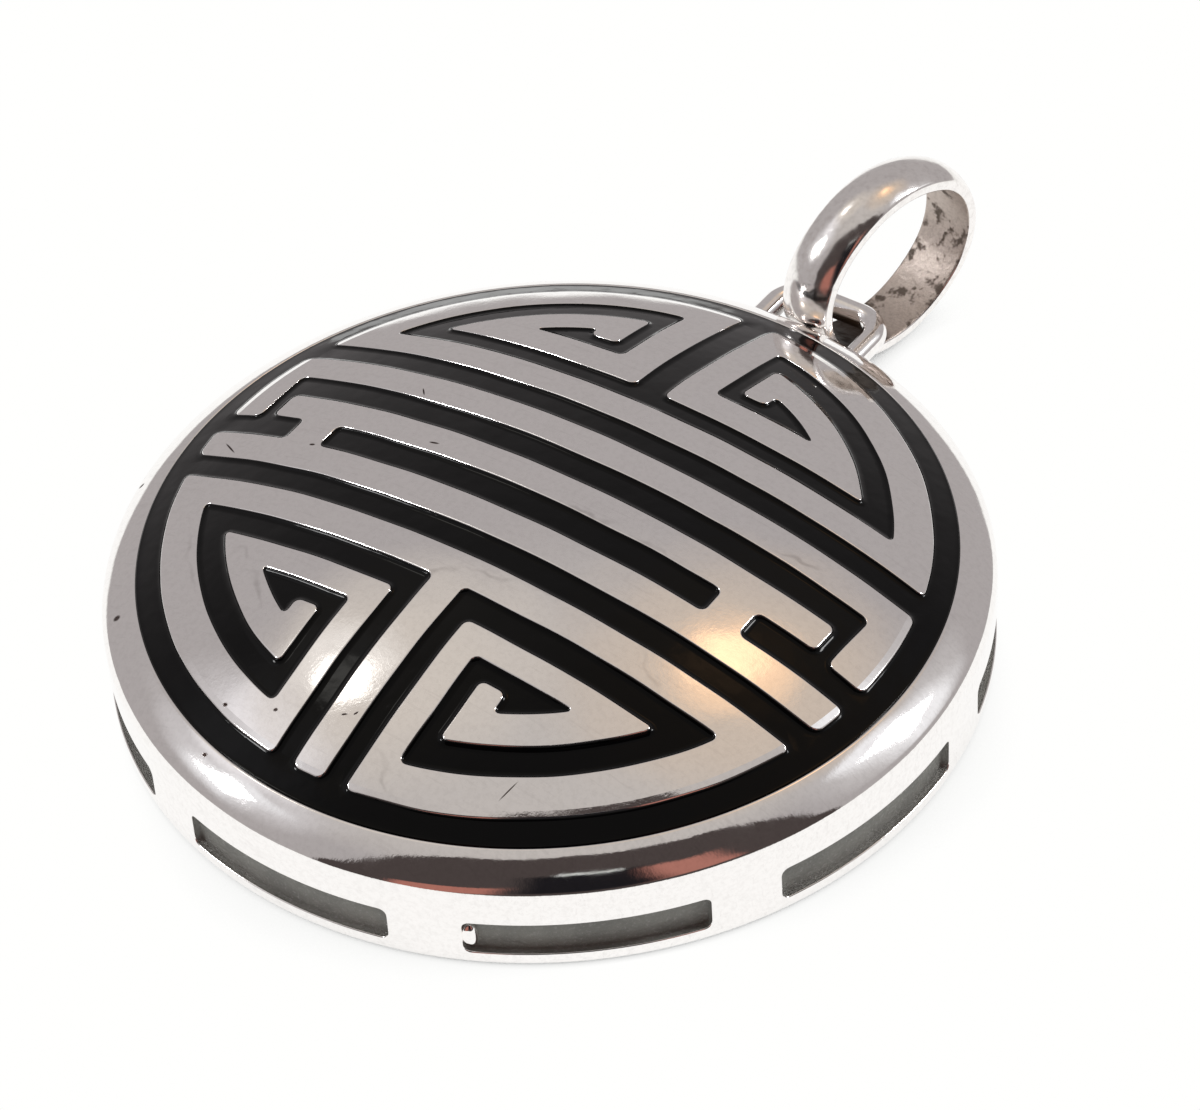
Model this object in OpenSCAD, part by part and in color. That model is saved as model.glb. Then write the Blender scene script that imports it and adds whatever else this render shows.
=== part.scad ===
// Round amulet pendant: a domed silver medallion with a raised fret, black enamel in the
// channels, a side band with long recesses, and a loose bail ring in a soldered eyelet.
// It lies on its flat back. +Y points to the bail, +Z out of the domed front.

/* [Medallion] */
// Diameter over the side band
medallion_d = 32; // [31.8:0.1:32.2]
// Height of the sharp line where the rim meets the side band
crease_z = 3.5; // [3.4:0.05:3.6]
// Radius of the rounded edge between the side band and the back
back_edge_r = 0.5; // [0.3:0.1:0.8]

/* [Dome and rim] */
// Radius of the enamel ring's outer edge, where the polished rim begins
ring_r = 14.65; // [14.6:0.05:14.7]
// Height of the dome's edge above the back
dome_edge_z = 4.55; // [4.5:0.05:4.65]
// Rise of the dome above its edge
dome_rise = 2.95; // [2.7:0.05:3.2]
// Radius of the rim's rounded section
rim_r = 2.85; // [2.75:0.05:2.95]

/* [Fret] */
// Radius of the fret's outer edge
fret_r = 13.75; // [13.7:0.05:13.8]
// Radius of the outer curve of the four spiral channels
spiral_outer_r = 12.35; // [12.3:0.05:12.4]
// Radius of the inner curve of the four spiral channels
spiral_inner_r = 11.3; // [11.25:0.05:11.35]
// Radius of the curved side of the small triangles
triangle_r = 10.1; // [10:0.05:10.2]
// Depth of the channels below the dome
channel_depth = 0.65; // [0.5:0.05:0.8]

/* [Enamel] */
// How far the enamel lies below the silver
enamel_recess = 0.12; // [0.08:0.01:0.2]
// Gap between the enamel and the silver
enamel_gap = 0.02; // [0.02:0.01:0.04]

/* [Side recesses] */
// Number of recess places round the side band
recess_count = 9; // [9:1:9]
// Length of one recess, as an angle
recess_angle = 30.5; // [29:0.5:31]
// Height of a recess's lower edge
recess_z = 0.75; // [0.7:0.05:0.85]
// Height of a recess
recess_h = 1.4; // [1.3:0.05:1.5]
// Depth of a recess
recess_depth = 0.3; // [0.25:0.05:0.5]
// Width of the plain stretch of band that the eyelet is soldered to
eyelet_pad_w = 7; // [6.5:0.5:8]

/* [Eyelet] */
// Diameter of the eyelet's wire
eyelet_wire_d = 0.95; // [0.9:0.05:1]
// Width over the eyelet
eyelet_w = 5.3; // [5.2:0.1:5.4]
// Distance of the eyelet's outer edge from the medallion's axis
eyelet_reach = 19.5; // [19.4:0.05:19.6]
// Outer radius of the eyelet's two corners
eyelet_corner_r = 1.6; // [1.5:0.1:1.8]
// Height of the wire's centre above the back
eyelet_z = 2.12; // [2.05:0.01:2.15]

/* [Bail] */
// Half the inner length of the oval bail
bail_inner_a = 3.8; // [3.7:0.05:3.8]
// Half the inner width of the oval bail
bail_inner_b = 3; // [2.95:0.05:3.05]
// Inner radius of the oval's two ends
bail_end_r = 2.6; // [2.5:0.05:2.65]
// Thickness of the bail's half-round section
bail_t = 0.75; // [0.65:0.05:0.75]
// Width of the bail's half-round section
bail_w = 2.15; // [2:0.05:2.2]
// How far the bail's centre lies to the right of the medallion's middle
bail_x = 0.95; // [0.9:0.05:1]
// How far the bail's centre lies from the medallion's axis
bail_y = 20.55; // [20.5:0.05:20.6]
// Height of the bail's centre
bail_z = 3.83; // [3.8:0.01:3.86]
// Turn of the bail about the upright direction
bail_yaw = -9.6; // [-10.4:0.2:-8.8]
// Rise of the bail's long direction
bail_tilt = 5.5; // [4.5:0.5:6.5]

/* [Hidden] */
$fn = 96;
SILVER = [0.74, 0.72, 0.73];
ENAMEL = [0.03, 0.03, 0.035];

wall_r = medallion_d / 2;
dome_top_z = dome_edge_z + dome_rise;
dome_r = (ring_r * ring_r + dome_rise * dome_rise) / (2 * dome_rise);
dome_centre_z = dome_top_z - dome_r;
over = 1;

// The rim's arc leaves the dome's edge along the dome's own slope.
edge_slope = asin(ring_r / dome_r);
rim_x = ring_r - rim_r * sin(edge_slope);
rim_z = dome_edge_z - rim_r * cos(edge_slope);

// The bail's section is half-round: flat towards the hole, rounded outside.
bail_section_r = (bail_w * bail_w / 4 + bail_t * bail_t) / (2 * bail_t);

// The oval is four arcs that meet tangentially: two ends and two sides.
bail_end_x = bail_inner_a - bail_end_r;
bail_side_r = (bail_end_x * bail_end_x + bail_inner_b * bail_inner_b - bail_end_r * bail_end_r)
    / (2 * (bail_inner_b - bail_end_r));
bail_side_y = bail_side_r - bail_inner_b;
bail_end_angle = atan(bail_side_y / bail_end_x);

// Straight lines of the fret, from the middle of the medallion
centre_channel_x = 0.63;
centre_channel_y = 5.8;
long_channel_y = [3.4, 4.5];
bracket_channel_y = [0.85, 2.05];
leg_inner_x = [-12.45, 12.3];
leg_end_y = -0.6;
middle_bar_x = [-11.85, 11.7];
middle_bar_y = -0.45;
slot_x = [-8.75, 7.95];
slot_y = [-1.65, -0.45];
notch_x = [-10.35, 9.4];
low_channel_y = [-4.1, -3];
stem_x = -0.1;
stem_half_w = 0.64;
stem_channel_x = 1.55;

// Each spiral: the two edges of its long line, the two of its short line, its upright line's
// two edges, the hook's edge, and where the long line starts.
top_right = [5.8, 6.65, 8.05, 8.7, 1.93, 2.61, 3.66, -1];
top_left = [5.8, 6.65, 8.05, 8.7, 2.17, 2.89, 4.07, -1];
low_right = [5.4, 6.5, 7.55, 8.25, 2.7, 3.45, 4.5, 0.64];
low_left = [5.4, 6.45, 7.5, 8.25, 2.7, 3.45, 4.5, 0.64];

module strip(x0, x1, y0, y1, g) {
    translate([x0 + g, y0 + g]) square([x1 - x0 - 2 * g, y1 - y0 - 2 * g]);
}

// One spiral channel of the first quadrant. Its curves share the medallion's centre.
module spiral(s, g) {
    long0 = s[0]; long1 = s[1]; short0 = s[2]; short1 = s[3];
    up0 = s[4]; up1 = s[5]; hook = s[6]; start = s[7];
    intersection() {
        circle(spiral_outer_r - g);
        union() {
            strip(start, wall_r, long0, long1, g);
            strip(up0, up1, short0, wall_r, g);
            difference() {
                strip(up0, wall_r, long0, wall_r, g);
                circle(spiral_inner_r + g);
            }
        }
    }
    intersection() {
        circle(triangle_r - g);
        union() {
            strip(up0, hook + over, short0, short1, g);
            strip(hook, wall_r, short0, wall_r, g);
        }
    }
}

// All the joined channels, drawn flat, each edge drawn back by g
module field(g) {
    difference() {
        circle(ring_r - g);
        circle(fret_r + g);
    }
    intersection() {
        circle(ring_r - g);
        union() {
            strip(-wall_r, wall_r, long_channel_y[0], long_channel_y[1], g);
            strip(-wall_r, wall_r, low_channel_y[0], low_channel_y[1], g);
            strip(-centre_channel_x, centre_channel_x, centre_channel_y, wall_r, g);
            strip(leg_inner_x[0], leg_inner_x[1], bracket_channel_y[0], bracket_channel_y[1], g);
            for (side = [0, 1]) {
                inner = side == 0 ? leg_inner_x[0] : middle_bar_x[1];
                outer = side == 0 ? middle_bar_x[0] : leg_inner_x[1];
                strip(inner, outer, slot_y[0], bracket_channel_y[1], g);
                notch0 = side == 0 ? leg_inner_x[0] : notch_x[1];
                notch1 = side == 0 ? notch_x[0] : leg_inner_x[1];
                strip(notch0, notch1, slot_y[0], middle_bar_y, g);
                end0 = side == 0 ? -wall_r : middle_bar_x[1];
                end1 = side == 0 ? middle_bar_x[0] : wall_r;
                strip(end0, end1, slot_y[0], leg_end_y, g);
            }
            translate([stem_x, 0])
                for (side = [0, 1])
                    mirror([side, 0])
                        strip(stem_half_w, stem_channel_x, -wall_r, -low_right[0], g);
        }
    }
    spiral(top_right, g);
    mirror([1, 0]) spiral(top_left, g);
    intersection() {
        circle(ring_r - g);
        translate([stem_x, 0]) mirror([0, 1]) {
            spiral(low_right, g);
            mirror([1, 0]) spiral(low_left, g);
        }
    }
}

module slot(g) {
    strip(slot_x[0], slot_x[1], slot_y[0], slot_y[1], g);
}

// A ball about the dome's centre, so much below the dome
module inner_ball(below) {
    translate([0, 0, dome_centre_z]) sphere(dome_r - below, $fn = 360);
}

module case_profile() {
    square([wall_r - back_edge_r, crease_z]);
    translate([0, back_edge_r]) square([wall_r, crease_z - back_edge_r]);
    translate([wall_r - back_edge_r, back_edge_r]) circle(back_edge_r);
    intersection() {
        translate([rim_x, rim_z]) circle(rim_r);
        translate([0, crease_z - 0.5]) square([wall_r, dome_top_z]);
    }
    square([rim_x, dome_edge_z]);
    intersection() {
        translate([0, dome_centre_z]) circle(dome_r, $fn = 720);
        square([ring_r, dome_top_z + over]);
    }
}

module channel_cut() {
    difference() {
        translate([0, 0, crease_z]) linear_extrude(dome_top_z + over - crease_z) union() {
            field(0);
            slot(0);
        }
        inner_ball(channel_depth);
    }
}

module recesses() {
    difference() {
        for (k = [0 : recess_count - 1])
            rotate([0, 0, -90 - recess_angle / 2 + k * 360 / recess_count])
                rotate_extrude(angle = recess_angle)
                    translate([wall_r - recess_depth, recess_z]) square([recess_depth + over, recess_h]);
        translate([-eyelet_pad_w / 2, 0, 0]) cube([eyelet_pad_w, wall_r + over, crease_z]);
    }
}

// Half of the eyelet: a leg from the band, a quarter turn, and half the crown
module eyelet_half() {
    wire_r = eyelet_wire_d / 2;
    bend_r = eyelet_corner_r - wire_r;
    bend_x = eyelet_w / 2 - eyelet_corner_r;
    bend_y = eyelet_reach - eyelet_corner_r;
    root_y = wall_r - 0.6;
    translate([eyelet_w / 2 - wire_r, root_y, 0]) rotate([-90, 0, 0])
        cylinder(r = wire_r, h = bend_y - root_y);
    translate([bend_x, bend_y, 0]) rotate_extrude(angle = 90) translate([bend_r, 0]) circle(wire_r);
    translate([0, bend_y + bend_r, 0]) rotate([0, 90, 0]) cylinder(r = wire_r, h = bend_x);
}

module case() {
    color(SILVER) union() {
        difference() {
            rotate_extrude($fn = 180) case_profile();
            channel_cut();
            recesses();
        }
        translate([0, 0, eyelet_z]) {
            eyelet_half();
            mirror([1, 0, 0]) eyelet_half();
        }
    }
}

module enamel_layer() {
    intersection() {
        translate([0, 0, crease_z]) linear_extrude(dome_top_z + over - crease_z) children();
        difference() {
            inner_ball(enamel_recess);
            inner_ball(channel_depth - enamel_gap);
        }
    }
}

module enamel_field() {
    color(ENAMEL) enamel_layer() field(enamel_gap);
}

module enamel_slot() {
    color(ENAMEL) enamel_layer() slot(enamel_gap);
}

module bail_section(inner_r) {
    intersection() {
        translate([inner_r + bail_t - bail_section_r, 0]) circle(bail_section_r);
        translate([inner_r, -bail_w]) square([bail_t + over, 2 * bail_w]);
    }
}

// A quarter of the oval: half an end and half a side
module bail_quarter() {
    translate([bail_end_x, 0, 0]) rotate_extrude(angle = bail_end_angle) bail_section(bail_end_r);
    translate([0, -bail_side_y, 0]) rotate([0, 0, bail_end_angle])
        rotate_extrude(angle = 90 - bail_end_angle) bail_section(bail_side_r);
}

module bail_oval() {
    for (x = [0, 1], y = [0, 1])
        mirror([x, 0, 0]) mirror([0, y, 0]) bail_quarter();
}

module bail() {
    color(SILVER) translate([bail_x, bail_y, bail_z]) rotate([0, 0, bail_yaw])
        rotate([bail_tilt, 0, 0]) rotate([0, 90, 0]) rotate([0, 0, 90]) bail_oval();
}

case();
enamel_field();
enamel_slot();
bail();
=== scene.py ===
import math

import bmesh
import bpy
from mathutils import Matrix, Vector
from mathutils.noise import noise_vector, seed_set


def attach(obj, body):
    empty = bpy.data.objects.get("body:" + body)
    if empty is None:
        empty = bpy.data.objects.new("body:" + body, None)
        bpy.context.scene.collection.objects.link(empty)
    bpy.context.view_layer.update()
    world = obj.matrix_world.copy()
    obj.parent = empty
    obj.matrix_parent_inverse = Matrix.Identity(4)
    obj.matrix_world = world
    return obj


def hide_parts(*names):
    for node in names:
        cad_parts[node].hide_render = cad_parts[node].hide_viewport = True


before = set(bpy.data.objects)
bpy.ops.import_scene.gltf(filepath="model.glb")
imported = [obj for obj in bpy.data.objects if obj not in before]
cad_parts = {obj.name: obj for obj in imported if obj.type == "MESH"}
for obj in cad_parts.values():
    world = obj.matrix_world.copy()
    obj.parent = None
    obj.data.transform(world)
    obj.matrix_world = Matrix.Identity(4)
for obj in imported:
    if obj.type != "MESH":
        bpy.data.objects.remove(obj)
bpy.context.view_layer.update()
mm = 0.001

# Fret of the case
# The medallion is one piece of cast sterling silver, and its front is a shallow dome. The fret
# stands up from it as bars, brackets and four square spirals, whose curved sides share the
# medallion's centre, and its top edges are slightly rounded by polishing.

ring_r = 14.65 * mm
fret_r = 13.75 * mm
fret_arcs = [10.1 * mm, 11.3 * mm, 12.35 * mm, fret_r, ring_r]
dome_edge_z = 4.55 * mm
dome_rise = 3.03 * mm
dome_fullness = 0.175
channel_depth = 0.65 * mm
fret_h = channel_depth + 0.1 * mm
fret_corner_r = 0.3 * mm
fret_edge_r = 0.055 * mm
uneven = 0.045 * mm
uneven_length = 2.2 * mm
uneven_seed = 7
round_steps = 360
mesh_step = 0.5 * mm
straight_turn = 0.002
corner_turn = 0.25
tolerance = 1e-7
degree = math.pi / 180

# Each channel: left, right, lower and upper edge in mm, and its first and last zone between arcs
slot_edges = (-8.75, 7.95, -1.65, -0.45)
channels = [
    (-16, 16, 3.4, 4.5, 0, 3),
    (-16, 16, -4.1, -3, 0, 3),
    (-0.63, 0.63, 5.8, 16, 0, 3),
    (-12.45, 12.3, 0.85, 2.05, 0, 3),
    (-12.45, -11.85, -1.65, 2.05, 0, 3),
    (11.7, 12.3, -1.65, 2.05, 0, 3),
    (-12.45, -10.35, -1.65, -0.45, 0, 3),
    (9.4, 12.3, -1.65, -0.45, 0, 3),
    (-16, -11.85, -1.65, -0.6, 0, 3),
    (11.7, 16, -1.65, -0.6, 0, 3),
    (*slot_edges, 0, 3),
    (0.54, 1.45, -16, -5.4, 0, 3),
    (-1.65, -0.74, -16, -5.4, 0, 3),
]


def add_spiral(side, up, middle, start, long0, long1, short0, short1, up0, up1, hook):
    """The channels of one square spiral, turned into its quarter of the medallion"""
    for x0, x1, y0, y1, first, last in (
        (start, 16, long0, long1, 0, 2),
        (up0, up1, short0, 16, 0, 2),
        (up0, 16, long0, 16, 2, 2),
        (up0, hook + 1, short0, short1, 0, 0),
        (hook, 16, short0, 16, 0, 0),
    ):
        xs = sorted((middle + side * x0, middle + side * x1))
        ys = sorted((up * y0, up * y1))
        channels.append((*xs, *ys, first, last))


add_spiral(1, 1, 0, -1, 5.8, 6.65, 8.05, 8.7, 1.93, 2.61, 3.66)
add_spiral(-1, 1, 0, -1, 5.8, 6.65, 8.05, 8.7, 2.17, 2.89, 4.07)
add_spiral(1, -1, -0.1, 0.64, 5.4, 6.5, 7.55, 8.25, 2.7, 3.45, 4.5)
add_spiral(-1, -1, -0.1, 0.64, 5.4, 6.45, 7.5, 8.25, 2.7, 3.45, 4.5)


def cut(part, point, normal):
    """Cuts every face of the part along a plane"""
    everything = part.verts[:] + part.edges[:] + part.faces[:]
    bmesh.ops.bisect_plane(part, geom=everything, dist=tolerance, plane_co=point, plane_no=normal)


# The plan is drawn flat first: a disc with the arcs, cut along every straight edge.
fret = bmesh.new()
bmesh.ops.create_circle(fret, cap_ends=True, segments=round_steps, radius=fret_arcs[0])
arc = fret.edges[:]
for zone, radius in enumerate(fret_arcs[1:], 1):
    bmesh.ops.create_circle(fret, cap_ends=False, segments=round_steps, radius=radius)
    next_arc = [e for e in fret.edges if e.is_wire]
    for face in bmesh.ops.bridge_loops(fret, edges=arc + next_arc)["faces"]:
        face.material_index = zone
    arc = next_arc
for x in sorted({0} | {c[i] for c in channels for i in (0, 1) if abs(c[i]) < fret_r / mm}):
    cut(fret, (x * mm, 0, 0), (1, 0, 0))
for y in sorted({c[i] for c in channels for i in (2, 3) if abs(c[i]) < fret_r / mm}):
    cut(fret, (0, y * mm, 0), (0, 1, 0))


def in_channel(face):
    """Whether a face of the plan lies in a channel or the ring round the fret"""
    x, y, _ = face.calc_center_median() / mm
    return face.material_index == 4 or any(
        x0 < x < x1 and y0 < y < y1 and first <= face.material_index <= last
        for x0, x1, y0, y1, first, last in channels
    )


channel_plan = fret.copy()
bmesh.ops.delete(fret, geom=[f for f in fret.faces if in_channel(f)], context="FACES")


def find_corners(part):
    """The points of a plan's outline where it turns a corner"""
    return [v for v in part.verts if len(v.link_edges) == 2 and v.calc_edge_angle() > corner_turn]


def clean_plan(part, sector_of):
    """Joins the faces of each sector, drops the points on straight edges and rounds the corners"""
    sectors = {}
    for face in part.faces:
        face.material_index = 0
        sectors.setdefault(sector_of(face.calc_center_median()), []).append(face)
    for faces in sectors.values():
        bmesh.ops.dissolve_faces(part, faces=faces, use_verts=False)
    loose = [v for v in part.verts if len(v.link_edges) == 2]
    bmesh.ops.dissolve_verts(part, verts=[v for v in loose if v.calc_edge_angle() < straight_turn])
    for _ in range(3):
        corners = set(find_corners(part))
        short = {e for v in corners for e in v.link_edges if e.calc_length() < 1.1 * fret_corner_r}
        close = {v for e in short for v in e.verts} - corners
        close = [v for v in part.verts if v in close and len(v.link_edges) == 2]
        bmesh.ops.dissolve_verts(part, verts=close)
    bmesh.ops.bevel(
        part, geom=find_corners(part), offset=fret_corner_r, offset_type="OFFSET", segments=4,
        profile=0.5, affect="VERTICES", material=-1, clamp_overlap=True,
    )


def cut_grid(part, reach):
    """Cuts the part into small squares, so that it can follow the dome"""
    for k in range(-reach, reach + 1):
        cut(part, (k * mesh_step, 0, 0), (1, 0, 0))
        cut(part, (0, k * mesh_step, 0), (0, 1, 0))


def points_of(geometry):
    """The vertices among the things that an operator made"""
    return [g for g in geometry if isinstance(g, bmesh.types.BMVert)]


clean_plan(fret, lambda c: c.x > 0)

# The islands are raised to their height, their top edges rounded, and the whole laid on the dome.
raised = bmesh.ops.extrude_face_region(fret, geom=fret.faces[:])["geom"]
bmesh.ops.translate(fret, verts=points_of(raised), vec=(0, 0, fret_h))
rims = [
    e for e in fret.edges
    if min(v.co.z for v in e.verts) > fret_h / 2 and e.calc_face_angle(0) > 1
]
bmesh.ops.bevel(
    fret, geom=rims, offset=fret_edge_r, offset_type="OFFSET", segments=3, profile=0.5,
    affect="EDGES", material=-1, clamp_overlap=False,
)
cut_grid(fret, 27)


def dome_height(out):
    """Height of the dome at a distance from its axis: a cap that is a little fuller than a ball's"""
    share = (out / ring_r) ** 2
    return dome_edge_z + dome_rise * (1 - share) * (1 + dome_fullness * share)


def dome_normal(x, y):
    """The direction that the dome faces at a point of its plan"""
    share = (x * x + y * y) / ring_r**2
    steep = 2 * dome_rise / ring_r**2 * (1 - dome_fullness + 2 * dome_fullness * share)
    return Vector((x * steep, y * steep, 1)).normalized()


# Without a seed of its own the noise would take one from the clock, and each run would differ.
seed_set(uneven_seed)


def lay_on_dome(part, flat_z):
    """Lays a flat part on the dome, flat_z at the dome's surface, its edges a little uneven"""
    for v in part.verts:
        wave = noise_vector(Vector((v.co.x, v.co.y, 0)) / uneven_length)
        fade = min(1, max(0, ring_r - v.co.xy.length) / (ring_r - fret_r))
        v.co.x += wave.x * uneven * fade
        v.co.y += wave.y * uneven * fade
        v.co.z += dome_height(math.hypot(v.co.x, v.co.y)) - flat_z


lay_on_dome(fret, fret_h)

# Rim, side band and back of the case
# The same casting runs on into a rounded polished rim, a straight side band and a flat back.
# The profile is turned about the medallion's axis, as on a lathe.

band_r = 16 * mm
band_top_z = 3.3 * mm
back_edge_r = 0.5 * mm
rim_r = 3.63 * mm
edge_slope = 22.77 * degree
shoulder_slope = 45 * degree
rim_centre_r = ring_r - rim_r * math.sin(edge_slope)
rim_centre = Vector((rim_centre_r, dome_edge_z - rim_r * math.cos(edge_slope)))
band_start = -110 * degree

# The profile: the floor of the channels, the rounded edge of the rim beside the enamel, the rim,
# and after the band the back, from its edge to its middle
floor_line = [(ring_r * k / 12, dome_height(ring_r * k / 12) - channel_depth) for k in range(13)]
lip_line = [(ring_r, dome_edge_z - 0.08 * mm), (ring_r + 0.012 * mm, dome_edge_z - 0.045 * mm)]
shoulder = rim_centre + rim_r * Vector((math.sin(shoulder_slope), math.cos(shoulder_slope)))
shoulder_r = (band_r - shoulder.x) / (1 - math.sin(shoulder_slope))
shoulder_centre = Vector((band_r - shoulder_r, shoulder.y - shoulder_r * math.cos(shoulder_slope)))
rim_line = []
for centre, radius, first, last, steps in (
    (rim_centre, rim_r, edge_slope + 1.2 * degree, shoulder_slope, 18),
    (shoulder_centre, shoulder_r, 48 * degree, 90 * degree, 14),
):
    for k in range(steps + 1):
        slope = first + (last - first) * k / steps
        rim_line.append((centre.x + radius * math.sin(slope), centre.y + radius * math.cos(slope)))
rim_line.append((band_r, band_top_z))
back_line = []
for k in range(7):
    slope = k * math.pi / 12
    inwards = back_edge_r * (1 - math.cos(slope))
    back_line.append((band_r - inwards, back_edge_r * (1 - math.sin(slope))))
back_line += [(band_r * 0.5, 0), (0, 0)]

case = bmesh.new()
for line in (floor_line + lip_line + rim_line, back_line):
    points = [case.verts.new((r, 0, z)) for r, z in line]
    bmesh.ops.rotate(case, verts=points, cent=(0, 0, 0), matrix=Matrix.Rotation(band_start, 3, "Z"))
    edges = [case.edges.new(pair) for pair in zip(points, points[1:])]
    bmesh.ops.spin(
        case, geom=points + edges, cent=(0, 0, 0), axis=(0, 0, 1), angle=2 * math.pi, steps=round_steps,
        use_merge=True, use_duplicate=False,
    )

# The band is made flat, with its recesses sunk in it, and then wrapped round the medallion.
recess_depth = 0.3 * mm
recess_z = [0.75 * mm, 2.15 * mm]
recess_half = 15.25 * degree
recess_corner_r = 0.28 * mm
recess_edge_r = 0.05 * mm
pad_half = math.asin(3.5 * mm / band_r)
recesses = []
for k in range(9):
    middle = (-90 + 40 * k) * degree
    start = middle - recess_half
    end = middle + recess_half
    if start < math.pi / 2 - pad_half < end:
        end = math.pi / 2 - pad_half
    if start < math.pi / 2 + pad_half < end:
        start = math.pi / 2 + pad_half
    recesses.append((start * band_r, end * band_r))
recess_ends = [x for pair in recesses for x in pair]

band = bmesh.new()
bmesh.ops.create_grid(band, x_segments=1, y_segments=1, size=0.5)
bmesh.ops.translate(band, verts=band.verts[:], vec=(0.5, 0.5, 0))
bmesh.ops.scale(band, verts=band.verts[:], vec=(2 * math.pi * band_r, band_top_z - back_edge_r, 1))
bmesh.ops.translate(band, verts=band.verts[:], vec=(band_start * band_r, back_edge_r, 0))
for x in recess_ends:
    cut(band, (x, 0, 0), (1, 0, 0))
for z in recess_z:
    cut(band, (0, z, 0), (0, 1, 0))
sunk = [
    f for f in band.faces
    if recess_z[0] < f.calc_center_median().y < recess_z[1]
    and any(x0 < f.calc_center_median().x < x1 for x0, x1 in recesses)
]
floors = bmesh.ops.extrude_face_region(band, geom=sunk)["geom"]
bmesh.ops.translate(band, verts=points_of(floors), vec=(0, 0, -recess_depth))
bmesh.ops.delete(band, geom=[f for f in sunk if f.is_valid], context="FACES_ONLY")
upright = [e for e in band.edges if abs(e.verts[0].co.z - e.verts[1].co.z) > recess_depth / 2]
bmesh.ops.bevel(
    band, geom=upright, offset=recess_corner_r, offset_type="OFFSET", segments=5, profile=0.5,
    affect="EDGES", material=-1, clamp_overlap=True,
)
mouths = [
    e for e in band.edges
    if max(abs(v.co.z) for v in e.verts) < tolerance and e.calc_face_angle(0) > 1
]
bmesh.ops.bevel(
    band, geom=mouths, offset=recess_edge_r, offset_type="OFFSET", segments=3, profile=0.5,
    affect="EDGES", material=-1, clamp_overlap=False,
)
lines = [
    e for e in band.edges
    if abs(e.verts[0].co.x - e.verts[1].co.x) < tolerance
    and max(abs(v.co.z) for v in e.verts) < tolerance
    and any(abs(e.verts[0].co.x - x) < tolerance for x in recess_ends)
]
bmesh.ops.dissolve_edges(band, edges=lines, use_verts=True)
for k in range(1, round_steps):
    cut(band, (band_start * band_r + k * degree * band_r, 0, 0), (1, 0, 0))
for face in band.faces:
    face.material_index = int(min(v.co.z for v in face.verts) < -1.2 * recess_edge_r)
for v in band.verts:
    turn, height, radius = v.co.x / band_r, v.co.y, band_r + v.co.z
    v.co = (radius * math.cos(turn), radius * math.sin(turn), height)


def take_in(body, part):
    """Adds one part's mesh to another's"""
    mesh = bpy.data.meshes.new("part")
    part.to_mesh(mesh)
    body.from_mesh(mesh)
    bpy.data.meshes.remove(mesh)
    part.free()


take_in(case, band)

# A lump of metal from the casting has stayed in one end of a recess.
lump_r = 0.42 * mm
lump_shape = (0.8, 0.75, 1.3)
lump = bmesh.new()
bmesh.ops.create_icosphere(lump, subdivisions=4, radius=lump_r)
for v in lump.verts:
    v.co *= 1 + 0.15 * noise_vector(v.co / lump_r).x
bmesh.ops.scale(lump, verts=lump.verts[:], vec=lump_shape)
lump_turn = (recesses[1][0] + 0.2 * mm) / band_r
lump_out = band_r - recess_depth
lump_place = (lump_out * math.cos(lump_turn), lump_out * math.sin(lump_turn), 1.4 * mm)
bmesh.ops.translate(lump, verts=lump.verts[:], vec=lump_place)
take_in(case, lump)
bmesh.ops.remove_doubles(case, verts=case.verts[:], dist=0.003 * mm)
bmesh.ops.recalc_face_normals(case, faces=case.faces[:])
take_in(case, fret)

# Eyelet
# A silver wire bent to a flat-crowned staple, with both ends soldered to the band. The solder
# has drawn a small fillet round each foot.

wire_r = 0.475 * mm
eyelet_z = 2.12 * mm
eyelet_half_w = 2.65 * mm
eyelet_reach = 19.5 * mm
eyelet_corner_r = 1.6 * mm
wire_start_y = 15.3 * mm
fillet_flare = 1.75

# Each row: how far the fillet goes on, in mm, and how much narrower it gets by then
fillet_steps = [(0.1, 0.86), (0.1, 0.85), (0.12, 0.88), (0.16, 0.93), (0.2, 0.96), (0.25, 0.995)]

eyelet = bmesh.new()
made = bmesh.ops.create_circle(eyelet, cap_ends=False, segments=32, radius=wire_r)["verts"]
bmesh.ops.rotate(eyelet, verts=made, cent=(0, 0, 0), matrix=Matrix.Rotation(-math.pi / 2, 3, "X"))
bmesh.ops.translate(eyelet, verts=made, vec=(eyelet_half_w - wire_r, wire_start_y, eyelet_z))
loop = eyelet.edges[:]


def edges_of(geometry):
    """The edges among the things that an operator made"""
    return [g for g in geometry if isinstance(g, bmesh.types.BMEdge)]


def next_ring(edges, forward, grow):
    """Extrudes the wire's end by a step and scales it"""
    made = bmesh.ops.extrude_edge_only(eyelet, edges=edges)["geom"]
    ring = points_of(made)
    bmesh.ops.translate(eyelet, verts=ring, vec=forward)
    middle = sum((v.co for v in ring), Vector()) / len(ring)
    bmesh.ops.scale(eyelet, verts=ring, vec=(grow, grow, grow), space=Matrix.Translation(-middle))
    return edges_of(made)


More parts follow.
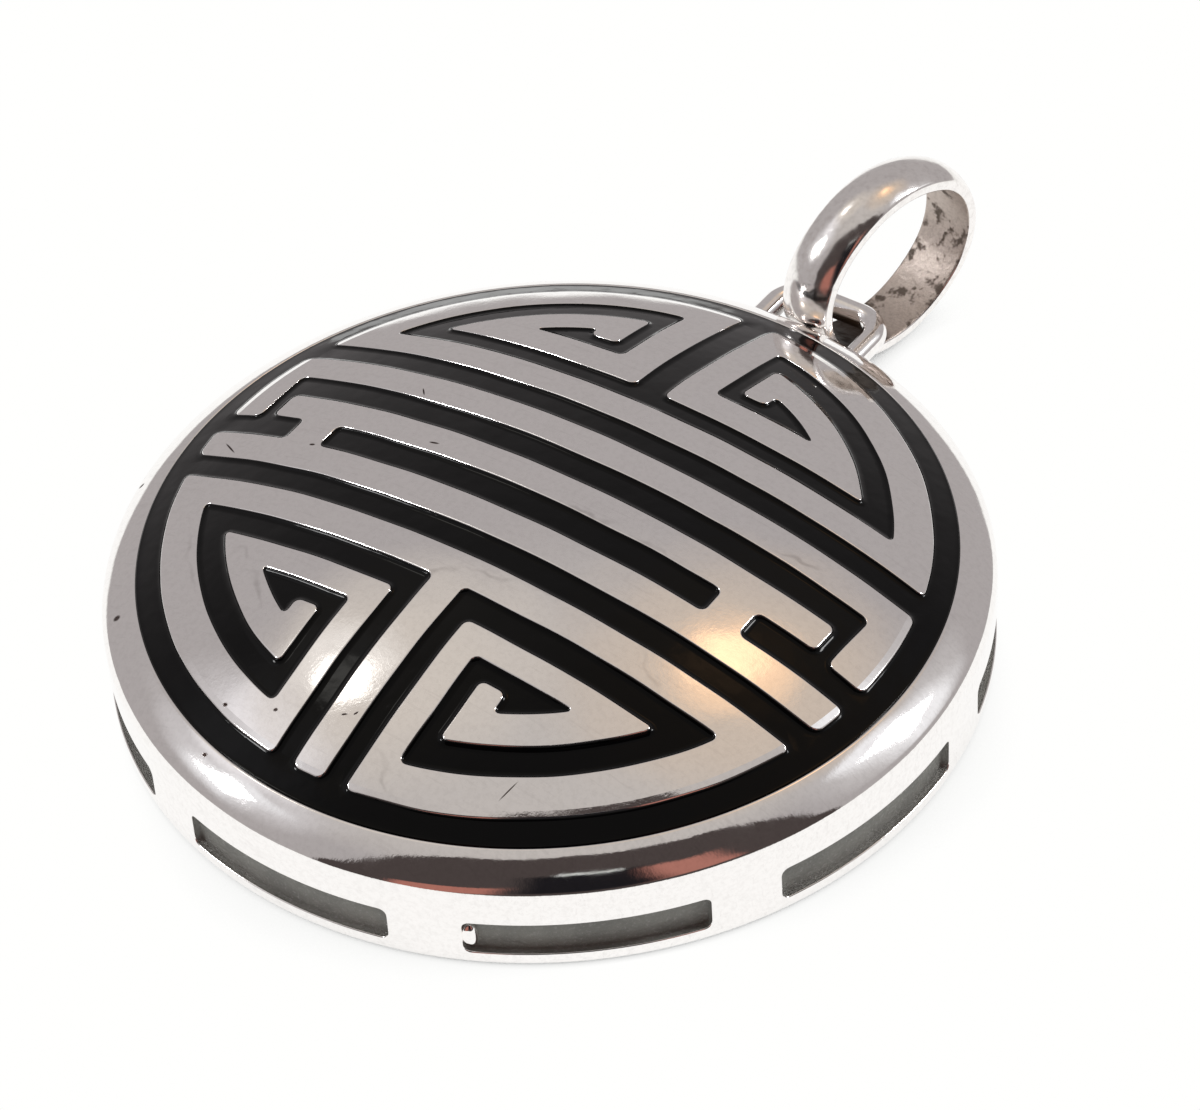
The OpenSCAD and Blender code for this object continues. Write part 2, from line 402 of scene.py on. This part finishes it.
loop = next_ring(loop, (0, 0.45 * mm, 0), fillet_flare)
for step, grow in fillet_steps:
    loop = next_ring(loop, (0, step * mm, 0), grow)
foot_y = max(v.co.y for v in eyelet.verts)
bend_y = eyelet_reach - eyelet_corner_r
made = bmesh.ops.extrude_edge_only(eyelet, edges=loop)["geom"]
bmesh.ops.translate(eyelet, verts=points_of(made), vec=(0, bend_y - foot_y, 0))
bend_x = eyelet_half_w - eyelet_corner_r
made = bmesh.ops.spin(
    eyelet, geom=points_of(made) + edges_of(made), cent=(bend_x, bend_y, eyelet_z), axis=(0, 0, 1),
    angle=math.pi / 2, steps=14, use_duplicate=False,
)["geom_last"]
made = bmesh.ops.extrude_edge_only(eyelet, edges=edges_of(made))["geom"]
bmesh.ops.translate(eyelet, verts=points_of(made), vec=(-bend_x, 0, 0))
half = eyelet.verts[:] + eyelet.edges[:] + eyelet.faces[:]
bmesh.ops.mirror(eyelet, geom=half, axis="X", merge_dist=0.001 * mm)
bmesh.ops.holes_fill(eyelet, edges=[e for e in eyelet.edges if e.is_boundary], sides=0)
bmesh.ops.recalc_face_normals(eyelet, faces=eyelet.faces[:])
take_in(case, eyelet)

# How far the middle of the enamel lies below the silver
enamel_below = 0.11 * mm


def finish_piece(part, name, body, *materials):
    """Makes the part's object, smooth, with true normals where it lies on the dome or band"""
    mesh = bpy.data.meshes.new(name)
    part.to_mesh(mesh)
    part.free()
    mesh.shade_smooth()
    for material in materials:
        mesh.materials.append(material)
    normals = []
    for v in mesh.vertices:
        side = Vector((v.co.x, v.co.y, 0))
        below = dome_height(side.length) - v.co.z
        if side.length < ring_r and min(abs(below), abs(below - enamel_below)) < tolerance:
            normals.append(dome_normal(v.co.x, v.co.y))
        elif abs(side.length - band_r) < tolerance and back_edge_r * 1.01 < v.co.z < band_top_z * 0.99:
            normals.append(side.normalized())
        else:
            normals.append((0, 0, 0))
    mesh.normals_split_custom_set_from_vertices(normals)
    piece = bpy.data.objects.new(name, mesh)
    bpy.context.scene.collection.objects.link(piece)
    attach(piece, body)
    return piece


def new_material(name, colour, metallic, roughness):
    """A material with its node tree, and its shader's plain values set"""
    material = bpy.data.materials.new(name)
    material.use_nodes = True
    shader = material.node_tree.nodes["Principled BSDF"]
    shader.inputs["Base Color"].default_value = (*colour, 1)
    shader.inputs["Metallic"].default_value = metallic
    shader.inputs["Roughness"].default_value = roughness
    return material, material.node_tree, shader


def add_node(kind, inputs, **settings):
    """Adds a node to the tree at hand, set as given, with its inputs joined or filled"""
    made = tree.nodes.new("ShaderNode" + kind)
    for key, value in settings.items():
        setattr(made, key, value)
    for key, value in inputs.items():
        if isinstance(value, bpy.types.NodeSocket):
            tree.links.new(value, made.inputs[key])
        else:
            made.inputs[key].default_value = value
    return made


def noise(place, size, detail=2, rough=0.5):
    """A cloudy pattern whose spots are about as large as the size"""
    inputs = {"Vector": place, "Scale": 1 / size, "Detail": detail, "Roughness": rough}
    return add_node("TexNoise", inputs).outputs["Fac"]


def ramp(value, low, high, to_low, to_high, smooth=True):
    """Takes the values from low to high to new ones, and holds the rest at the ends"""
    inputs = {"Value": value, "From Min": low, "From Max": high, "To Min": to_low, "To Max": to_high}
    kind = "SMOOTHSTEP" if smooth else "LINEAR"
    return add_node("MapRange", inputs, interpolation_type=kind).outputs["Result"]


def math_node(operation, first, second=0.0):
    """One sum on one or two values"""
    return add_node("Math", {0: first, 1: second}, operation=operation).outputs[0]


def mix_colour(mask, below, above):
    """Lays one colour over another where the mask is 1"""
    made = tree.nodes.new("ShaderNodeMix")
    made.data_type = "RGBA"
    for socket, value in zip((made.inputs[0], made.inputs[6], made.inputs[7]), (mask, below, above)):
        if isinstance(value, bpy.types.NodeSocket):
            tree.links.new(value, socket)
        else:
            socket.default_value = (*value, 1)
    return made.outputs[2]


def bump(height, depth, under=None):
    """Raises the surface by the height, over another bump if there is one"""
    inputs = {"Height": height, "Strength": 1.0, "Distance": depth}
    if under is not None:
        inputs["Normal"] = under
    return add_node("Bump", inputs).outputs["Normal"]


def on_front(x, y):
    """The point of the domed front or the rim that lies at x and y, given in mm"""
    out = math.hypot(x, y) * mm
    if out < ring_r:
        return (x * mm, y * mm, dome_height(out))
    return (x * mm, y * mm, rim_centre.y + math.sqrt(max(rim_r**2 - (out - rim_centre.x) ** 2, 0)))


def marks(place, spots, soft):
    """A mask of oval marks, each given by its x, y, turn in degrees, length and width in mm"""
    mask = 0.0
    for x, y, turn, long, wide in spots:
        size = (long / 2 * mm, wide / 2 * mm, max(long, wide) / 2 * mm)
        inputs = {"Location": on_front(x, y), "Rotation": (0, 0, turn * degree), "Scale": size}
        inside = add_node("Mapping", {"Vector": place, **inputs}, vector_type="TEXTURE").outputs[0]
        far = add_node("VectorMath", {0: inside}, operation="LENGTH").outputs["Value"]
        mask = math_node("MAXIMUM", ramp(far, 1, 1 - soft, 0, 1), mask)
    return mask


# Oval marks of the silver, each with its x, y, turn in degrees, length and width in mm: pits and
# scratches of wear, faint lines where the metal flowed in the mould, and the hollow inside the eyelet,
# darkened partly as grime that no polish reaches and partly as painted shade
pits = [
    (-11.1, -10.7, 20, 0.42, 0.3), (-4.0, -14.5, 0, 0.3, 0.2), (-15.0, -4.6, 60, 0.35, 0.22),
    (-4.4, -12.75, 0, 0.25, 0.2), (-2.5, -12.3, 30, 0.22, 0.18), (-4.7, 0.0, 10, 0.5, 0.12),
    (-12.25, -2.55, -30, 1.15, 0.09), (-7.0, 2.4, -48, 0.6, 0.08), (6.45, -11.1, 78, 1.1, 0.06),
    (-9.0, -1.7, 10, 0.3, 0.14), (-0.1, -11.5, 30, 0.3, 0.1), (0.25, -11.3, 60, 0.26, 0.1),
]
flow_lines = [
    (-10.3, -7.4, -48, 2.0, 0.3), (-9.2, -8.6, -46, 2.0, 0.28), (-8.0, -7.1, -21, 2.0, 0.28),
    (-6.3, -8.3, -46, 2.6, 0.28), (-0.6, -5.2, 37, 2.0, 0.3), (1.2, -4.5, 9, 2.7, 0.3),
    (3.7, -4.0, 17, 3.2, 0.28), (2.3, -12.5, -40, 2.6, 0.24), (2.3, -0.3, 2, 3.0, 0.3),
    (5.2, -0.4, 4, 3.4, 0.32), (9.2, 2.6, 15, 2.4, 0.3), (7.9, -4.8, -40, 2.4, 0.22),
]
eyelet_grime_and_painted_shade = [(0, 17.3, 0, 4.9, 3.4)]

# The fret's outer edge is worn down between these radii.
wear_start_r = 13.5 * mm
wear_end_r = 13.74 * mm
wear_depth = 0.028 * mm

bright_silver = (0.97, 0.945, 0.93)
dulled_silver = (0.76, 0.735, 0.72)
scratch_grey = (0.6, 0.57, 0.56)
flow_grey = (0.45, 0.42, 0.41)
pit_brown = (0.07, 0.05, 0.045)
grime_and_painted_shade_brown = (0.1, 0.075, 0.055)

silver, tree, shader = new_material("polished silver", (0.93, 0.91, 0.9), 1, 0.1)
place = add_node("TexCoord", {}).outputs["Object"]
grain = noise(place, 0.2 * mm, 3, 0.7)
cloud = noise(place, 1.4 * mm, 3, 0.6)
wander = add_node("TexNoise", {"Vector": place, "Scale": 1 / (0.9 * mm), "Detail": 1})
wander = wander.outputs["Color"]
wander = add_node("VectorMath", {0: wander, 1: (0.5, 0.5, 0.5)}, operation="SUBTRACT").outputs[0]
wander = add_node("VectorMath", {0: wander, "Scale": 0.8 * mm}, operation="SCALE").outputs[0]
wavy = add_node("VectorMath", {0: place, 1: wander}, operation="ADD").outputs[0]
pit_mask = marks(place, pits, 0.5)
flow_mask = math_node("MULTIPLY", marks(wavy, flow_lines, 0.9), ramp(cloud, 0.4, 0.6, 0.15, 0.45))
tone = mix_colour(ramp(grain, 0.38, 0.72, 0.0, 0.3), bright_silver, dulled_silver)
streaks = add_node("Mapping", {"Vector": place, "Rotation": (0, 0, 35 * degree), "Scale": (1, 16, 4)})
hairs = ramp(noise(streaks.outputs[0], 2.4 * mm, 2, 0.6), 0.6, 0.7, 0, 0.12)
tone = mix_colour(hairs, tone, scratch_grey)
tone = mix_colour(flow_mask, tone, flow_grey)
tone = mix_colour(pit_mask, tone, pit_brown)
# Inside the eyelet the silver turns dark brown: partly grime, partly painted shade where the eyelet and
# band hem the hollow in.
eyelet_grime_and_shade_mask = marks(place, eyelet_grime_and_painted_shade, 0.35)
tone = mix_colour(eyelet_grime_and_shade_mask, tone, grime_and_painted_shade_brown)
tree.links.new(tone, shader.inputs["Base Color"])
dirt = math_node("MULTIPLY", math_node("MAXIMUM", pit_mask, eyelet_grime_and_shade_mask), 0.5)
dull = math_node("MAXIMUM", ramp(cloud, 0.35, 0.7, 0.03, 0.09), dirt)
tree.links.new(dull, shader.inputs["Roughness"])
relief = bump(noise(place, 3.4 * mm, 1), 0.05 * mm)
relief = bump(grain, 0.0016 * mm, relief)
flat = add_node("VectorMath", {0: place, 1: (1, 1, 0)}, operation="MULTIPLY").outputs[0]
out = add_node("VectorMath", {0: flat}, operation="LENGTH").outputs["Value"]
relief = bump(ramp(out, wear_start_r, wear_end_r, 1, 0, smooth=False), wear_depth, relief)
tree.links.new(relief, shader.inputs["Normal"])

dark_oxide = (0.2, 0.2, 0.185)
light_oxide = (0.25, 0.25, 0.23)
bare_specks = (0.42, 0.42, 0.4)

oxidised, tree, shader = new_material("oxidised silver", (0.2, 0.2, 0.175), 0.4, 0.62)
place = add_node("TexCoord", {}).outputs["Object"]
grain = noise(place, 0.12 * mm, 5, 0.7)
cloud = noise(place, 1.6 * mm, 3, 0.6)
tone = mix_colour(ramp(cloud, 0.35, 0.68, 0, 1), dark_oxide, light_oxide)
tone = mix_colour(ramp(grain, 0.5, 0.75, 0, 0.6), tone, bare_specks)
tree.links.new(tone, shader.inputs["Base Color"])
tree.links.new(bump(grain, 0.03 * mm), shader.inputs["Normal"])

silver_case = finish_piece(case, "silver_case", "medallion", silver, oxidised)
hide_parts("case")

# Enamel
# Glossy black enamel is run into every channel and lies a little below the silver. At the
# walls it has crept up in a small meniscus.

enamel_edge_below = 0.01 * mm
enamel_thick = 0.4 * mm
ring_fill = 0.75
ring_fill_in = 0.25 * mm
ring_fill_width = 0.45 * mm

# The meniscus, from the wall inwards: width and fall of each step, in mm
meniscus = [(0.03, 0.035), (0.05, 0.03), (0.07, 0.022), (0.09, 0.013)]

cut(channel_plan, (0, 0, 0), (1, 1, 0))
cut(channel_plan, (0, 0, 0), (1, -1, 0))


def in_slot(face):
    """Whether a face of the plan lies in the closed middle slot"""
    x, y, _ = face.calc_center_median() / mm
    x0, x1, y0, y1 = slot_edges
    return x0 < x < x1 and y0 < y < y1


field, slot = channel_plan, channel_plan.copy()
dry = [f for f in field.faces if not in_channel(f) or in_slot(f)]
bmesh.ops.delete(field, geom=dry, context="FACES")
bmesh.ops.delete(slot, geom=[f for f in slot.faces if not in_slot(f)], context="FACES")
for part in (field, slot):
    clean_plan(part, lambda c: (c.x > 0, c.x > c.y, c.x > -c.y))
    inner = part.faces[:]
    for width, drop in meniscus:
        bmesh.ops.inset_region(
            part, faces=inner, thickness=width * mm, use_even_offset=True, use_boundary=True
        )
        moved = list({v for f in inner for v in f.verts})
        bmesh.ops.translate(part, verts=moved, vec=(0, 0, -drop * mm))
    raised = bmesh.ops.extrude_face_region(part, geom=part.faces[:])["geom"]
    bmesh.ops.translate(part, verts=points_of(raised), vec=(0, 0, enamel_thick))
    cut_grid(part, 29)
    for v in part.verts:
        share = min(1, max(0, (v.co.xy.length - fret_r + ring_fill_in) / ring_fill_width))
        if v.co.z > enamel_thick / 2:
            v.co.z += (enamel_thick - v.co.z) * ring_fill * share
    lay_on_dome(part, enamel_thick + enamel_edge_below)

enamel, tree, shader = new_material("black enamel", (0.001, 0.001, 0.0012), 0, 0.05)
shader.inputs["Specular Tint"].default_value = (0.06, 0.06, 0.06, 1)
shader.inputs["Coat Weight"].default_value = 1
shader.inputs["Coat IOR"].default_value = 1.17
shader.inputs["Coat Roughness"].default_value = 0.04
place = add_node("TexCoord", {}).outputs["Object"]
swell = bump(noise(place, 1.6 * mm, 2, 0.5), 0.05 * mm)
tree.links.new(bump(noise(place, 0.45 * mm, 2, 0.5), 0.006 * mm, swell), shader.inputs["Normal"])
enamel_field = finish_piece(field, "enamel_of_the_channels", "medallion", enamel)
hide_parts("enamel_field")
enamel_slot = finish_piece(slot, "enamel_of_the_slot", "medallion", enamel)
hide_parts("enamel_slot")

# Bail
# A heavy strip of half-round silver bent to an oval and soldered shut, flat inside and rounded
# outside. It is loose in the eyelet and carries the chain.

bail_inner_a = 3.8 * mm
bail_inner_b = 3 * mm
bail_end_r = 2.6 * mm
bail_t = 0.79 * mm
bail_w = 2.3 * mm
crown_r = 1.9 * mm
corner_r = 0.22 * mm
inner_corner_r = 0.13 * mm
bail_end_x = bail_inner_a - bail_end_r
bail_side_r = (bail_end_x**2 + bail_inner_b**2 - bail_end_r**2) / (2 * (bail_inner_b - bail_end_r))
bail_side_y = bail_side_r - bail_inner_b
bail_end_angle = math.atan2(bail_side_y, bail_end_x)
bail_place = Matrix.Translation((0.95 * mm, 20.6 * mm, 3.83 * mm))
bail_turn = Matrix.Rotation(-10.4 * degree, 4, "Z") @ Matrix.Rotation(5.5 * degree, 4, "X")
bail_stand = Matrix.Rotation(math.pi / 2, 4, "Y") @ Matrix.Rotation(math.pi / 2, 4, "Z")

# The section is drawn at the strip's end, then swept round the four arcs of the oval.
bail = bmesh.new()
crown_half = math.asin((bail_w / 2 - corner_r) / (crown_r - corner_r))
crown_x = bail_end_r + bail_t - crown_r
corner_x = crown_x + (crown_r - corner_r) * math.cos(crown_half)
corner_z = bail_w / 2 - corner_r
first = bail.verts.new((bail_end_r, 0, -bail_w / 2))
end = bmesh.ops.extrude_vert_indiv(bail, verts=[first])["verts"]
bmesh.ops.translate(bail, verts=end, vec=(corner_x - bail_end_r, 0, 0))
for x, z, angle, steps in (
    (corner_x, -corner_z, math.pi / 2 - crown_half, 5),
    (crown_x, 0, 2 * crown_half, 12),
    (corner_x, corner_z, math.pi / 2 - crown_half, 5),
):
    end = bmesh.ops.spin(
        bail, geom=end, cent=(x, 0, z), axis=(0, 1, 0), angle=-angle, steps=steps, use_duplicate=False
    )["geom_last"]
last = bmesh.ops.extrude_vert_indiv(bail, verts=points_of(end))["verts"]
bmesh.ops.translate(bail, verts=last, vec=(bail_end_r - corner_x, 0, 0))
bmesh.ops.contextual_create(bail, geom=bail.verts[:])
bmesh.ops.bevel(
    bail, geom=[first, *last], offset=inner_corner_r, offset_type="OFFSET", segments=4, profile=0.5,
    affect="VERTICES", material=-1, clamp_overlap=True,
)
bmesh.ops.delete(bail, geom=bail.faces[:], context="FACES_ONLY")
start_turn = Matrix.Rotation(-bail_end_angle, 3, "Z")
bmesh.ops.rotate(bail, verts=bail.verts[:], cent=(0, 0, 0), matrix=start_turn)
bmesh.ops.translate(bail, verts=bail.verts[:], vec=(bail_end_x, 0, 0))
end = bail.verts[:] + bail.edges[:]
side_angle = math.pi - 2 * bail_end_angle
for cent, angle, steps in (
    ((bail_end_x, 0, 0), 2 * bail_end_angle, 54),
    ((0, -bail_side_y, 0), side_angle, 44),
    ((-bail_end_x, 0, 0), 2 * bail_end_angle, 54),
    ((0, bail_side_y, 0), side_angle, 44),
):
    end = bmesh.ops.spin(
        bail, geom=end, cent=cent, axis=(0, 0, 1), angle=angle, steps=steps, use_duplicate=False
    )["geom_last"]
bmesh.ops.remove_doubles(bail, verts=bail.verts[:], dist=0.003 * mm)
bmesh.ops.recalc_face_normals(bail, faces=bail.faces[:])
for face in bail.faces:
    inwards = face.normal.dot(face.calc_center_median()) < 0
    face.material_index = int(inwards and abs(face.normal.z) < 0.6)
bmesh.ops.transform(bail, verts=bail.verts[:], matrix=bail_place @ bail_turn @ bail_stand)

# Each oval mark: x, y, turn in degrees, length and width in mm. The one mark blackens the bail's inside
# where it hangs through the eyelet, partly as grime and partly as painted shade.
bail_grime_and_painted_shade = [(0.6, 18.7, 0, 4.4, 3.6)]
bright_bail = (0.96, 0.93, 0.91)
dulled_bail = (0.7, 0.66, 0.64)
warm_tarnish = (0.6, 0.525, 0.475)
brown_tarnish = (0.42, 0.36, 0.32)
dark_tarnish = (0.14, 0.11, 0.09)
black_grime_and_painted_shade = (0.035, 0.022, 0.015)

bail_silver, tree, shader = new_material("bail silver", (0.93, 0.9, 0.88), 1, 0.1)
place = add_node("TexCoord", {}).outputs["Object"]
grain = noise(place, 0.25 * mm, 3, 0.6)
cloud = noise(place, 1.1 * mm, 2, 0.6)
tone = mix_colour(ramp(grain, 0.4, 0.75, 0, 0.4), bright_bail, dulled_bail)
tree.links.new(tone, shader.inputs["Base Color"])
tree.links.new(ramp(cloud, 0.35, 0.7, 0.11, 0.2), shader.inputs["Roughness"])
tree.links.new(bump(cloud, 0.02 * mm), shader.inputs["Normal"])

tarnished, tree, shader = new_material("tarnished silver", (0.7, 0.62, 0.57), 1, 0.35)
place = add_node("TexCoord", {}).outputs["Object"]
grain = noise(place, 0.16 * mm, 3, 0.7)
cloud = noise(place, 0.9 * mm, 3, 0.65)
tone = mix_colour(ramp(grain, 0.4, 0.7, 0, 0.5), warm_tarnish, brown_tarnish)
tone = mix_colour(ramp(cloud, 0.54, 0.64, 0, 0.85), tone, dark_tarnish)
# Black where the bail hangs through the eyelet: grime and painted shade.
tone = mix_colour(marks(place, bail_grime_and_painted_shade, 0.4), tone, black_grime_and_painted_shade)
tree.links.new(tone, shader.inputs["Base Color"])
tree.links.new(ramp(cloud, 0.5, 0.64, 0.5, 0.7), shader.inputs["Roughness"])
tree.links.new(bump(cloud, 0.06 * mm, bump(grain, 0.01 * mm)), shader.inputs["Normal"])
bail_piece = finish_piece(bail, "bail_ring_silver", "bail_ring", bail_silver, tarnished)
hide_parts("bail")

# Table and light
# The pendant lies on its back on a white table inside a tent of white cloth. The tent's front is
# open to a dim brown room, and lamps shine through the cloth on both sides.

table_half = 50 * mm
cloth_grey = (0.41, 0.385, 0.385)
cloth_top = (0.52, 0.49, 0.47)
table_white = (0.95, 0.95, 0.93)

floor = bmesh.new()
bmesh.ops.create_grid(floor, x_segments=1, y_segments=1, size=table_half)
floor_mesh = bpy.data.meshes.new("table_top")
floor.to_mesh(floor_mesh)
floor.free()
table, tree, shader = new_material("white table", (0, 0, 0), 0, 1)
shader.inputs["Specular IOR Level"].default_value = 0
shader.inputs["Emission Color"].default_value = (1, 1, 0.99, 1)
# The table glows evenly, and ambient occlusion dims its glow in nooks that the pendant hems in: a
# painted shadow.
occlusion_for_painted_shadow = add_node("AmbientOcclusion", {"Distance": 5 * mm}, samples=4).outputs["AO"]
tree.links.new(ramp(occlusion_for_painted_shadow, 0.04, 0.34, 0.03, 1), shader.inputs["Emission Strength"])
floor_mesh.materials.append(table)
table_top = bpy.data.objects.new("table_top", floor_mesh)
bpy.context.scene.collection.objects.link(table_top)

tent = bpy.data.worlds.new("light_tent")
tent.use_nodes = True
bpy.context.scene.world = tent
bpy.context.scene.view_settings.view_transform = "Standard"
tree = tent.node_tree
shader = tree.nodes["Background"]
direction = add_node("TexCoord", {}).outputs["Generated"]


def toward(turn, rise=0):
    """The direction at a turn from the front towards the right, and a rise above the table"""
    flat = math.cos(rise * degree)
    return (math.sin(turn * degree) * flat, -math.cos(turn * degree) * flat, math.sin(rise * degree))


def along(axis):
    """How far the seen direction runs along an axis"""
    return add_node("VectorMath", {0: direction, 1: axis}, operation="DOT_PRODUCT").outputs["Value"]


def glow(under, turn, rise, size, colour, soft):
    """Lays a round glow with a soft edge over the tent"""
    edge = math.cos(size * degree)
    middle = math.cos(size * degree * (1 - soft))
    return mix_colour(ramp(along(toward(turn, rise)), edge, middle, 0, 1), under, colour)


def panel(under, turn, left, right, low, high, colour, soft, lean):
    """Lays an upright rectangle over the tent, its edges given on a wall one unit away"""
    ahead = along(toward(turn))
    across = math_node("DIVIDE", along(toward(turn + 90)), ahead)
    up = math_node("DIVIDE", along((0, 0, 1)), ahead)
    if lean:
        up = math_node("SUBTRACT", up, math_node("MULTIPLY", across, lean))
    mask = math_node("GREATER_THAN", ahead, 0.02)
    for value, start, end in ((across, left, right), (up, low, high)):
        off = math_node("ABSOLUTE", math_node("SUBTRACT", value, (start + end) / 2))
        half = (end - start) / 2
        mask = math_node("MULTIPLY", mask, ramp(off, half + soft, half - soft, 0, 1))
    return mix_colour(mask, under, colour)


# Patches of light on the cloth: turn, rise, size, colour and softness
glows = [
    (-64, 44, 24, (0.62, 0.6, 0.61), 0.9),
    (-80, 52, 13, (0.85, 0.83, 0.85), 0.9),
    (-105, 62, 20, (0.62, 0.57, 0.52), 0.9),
    (-101, 56, 8, (0.85, 0.81, 0.77), 0.9),
    (-98, 57.5, 4.5, (3.4, 3.3, 3.1), 0.95),
    (135, 38, 26, (0.56, 0.54, 0.54), 0.9),
    (170, 64, 24, (0.6, 0.51, 0.43), 0.95),
    (174, 63, 10, (1.0, 0.7, 0.47), 0.95),
    (179, 63, 5, (1.7, 1.1, 0.68), 0.95),
]
# The opening and what shows in it, then the lamps: turn, left, right, low, high, colour, softness
# and lean
panels = [
    (42, -1.72, 1.58, -1, 3.87, (0.065, 0.052, 0.05), 0.06, 0),
    (42, -0.95, -0.38, 0.32, 1.17, (0.4, 0.16, 0.125), 0.09, 0.6),
    (42, 0.25, 0.66, 0.2, 1.38, (0.4, 0.17, 0.135), 0.08, 0),
    (42, -0.3, 0.3, 0.21, 1.48, (0.012, 0.011, 0.013), 0.1, 0),
    (42, -0.14, 0.2, 1.42, 1.54, (0.6, 0.62, 0.6), 0.03, 0),
    (-57.5, -0.15, 0.15, 0.51, 1.23, (0.85, 0.85, 0.87), 0.1, 0),
    (-57.5, -0.08, 0.08, 0.66, 0.97, (26, 26, 26), 0.03, 0),
    (134.7, -0.2, 0.2, 0.34, 1.4, (0.9, 0.9, 0.92), 0.12, 0),
    (134.7, -0.09, 0.09, 0.62, 1.04, (26, 26, 26), 0.03, 0),
]
height = along((0, 0, 1))
sky = mix_colour(ramp(height, 0.7, 0.98, 0, 1), cloth_grey, cloth_top)
for patch in glows:
    sky = glow(sky, *patch)
for patch in panels:
    sky = panel(sky, *patch)

# Below the table's edge all is white, but for the cloth that shows past its far side.
sky = mix_colour(ramp(height, -0.035, -0.02, 1, 0), sky, table_white)
sky = panel(sky, -140, -1.6, 1.6, -0.09, 0.03, cloth_grey, 0.025, 0)
seen = add_node("LightPath", {}).outputs["Is Camera Ray"]
sky = mix_colour(seen, sky, (1, 1, 1))
tree.links.new(sky, shader.inputs["Color"])

# Camera
# It stands where the photograph's camera stood, about 16 cm from the pendant. The place was found
# from the medallion's rings and from the mirrored corners of the fret.

camera = bpy.data.objects.new("camera", bpy.data.cameras.new("camera"))
camera.data.sensor_width = 36
camera.data.lens = 133.858
camera.data.shift_x = 0.0327
camera.data.shift_y = 0.0038
camera.data.clip_start = 0.01
camera.location = (73.117 * mm, -90.962 * mm, 112.139 * mm)
camera.rotation_euler = (47.0594 * degree, 3.3597 * degree, 35.4325 * degree)
bpy.context.scene.collection.objects.link(camera)
bpy.context.scene.camera = camera
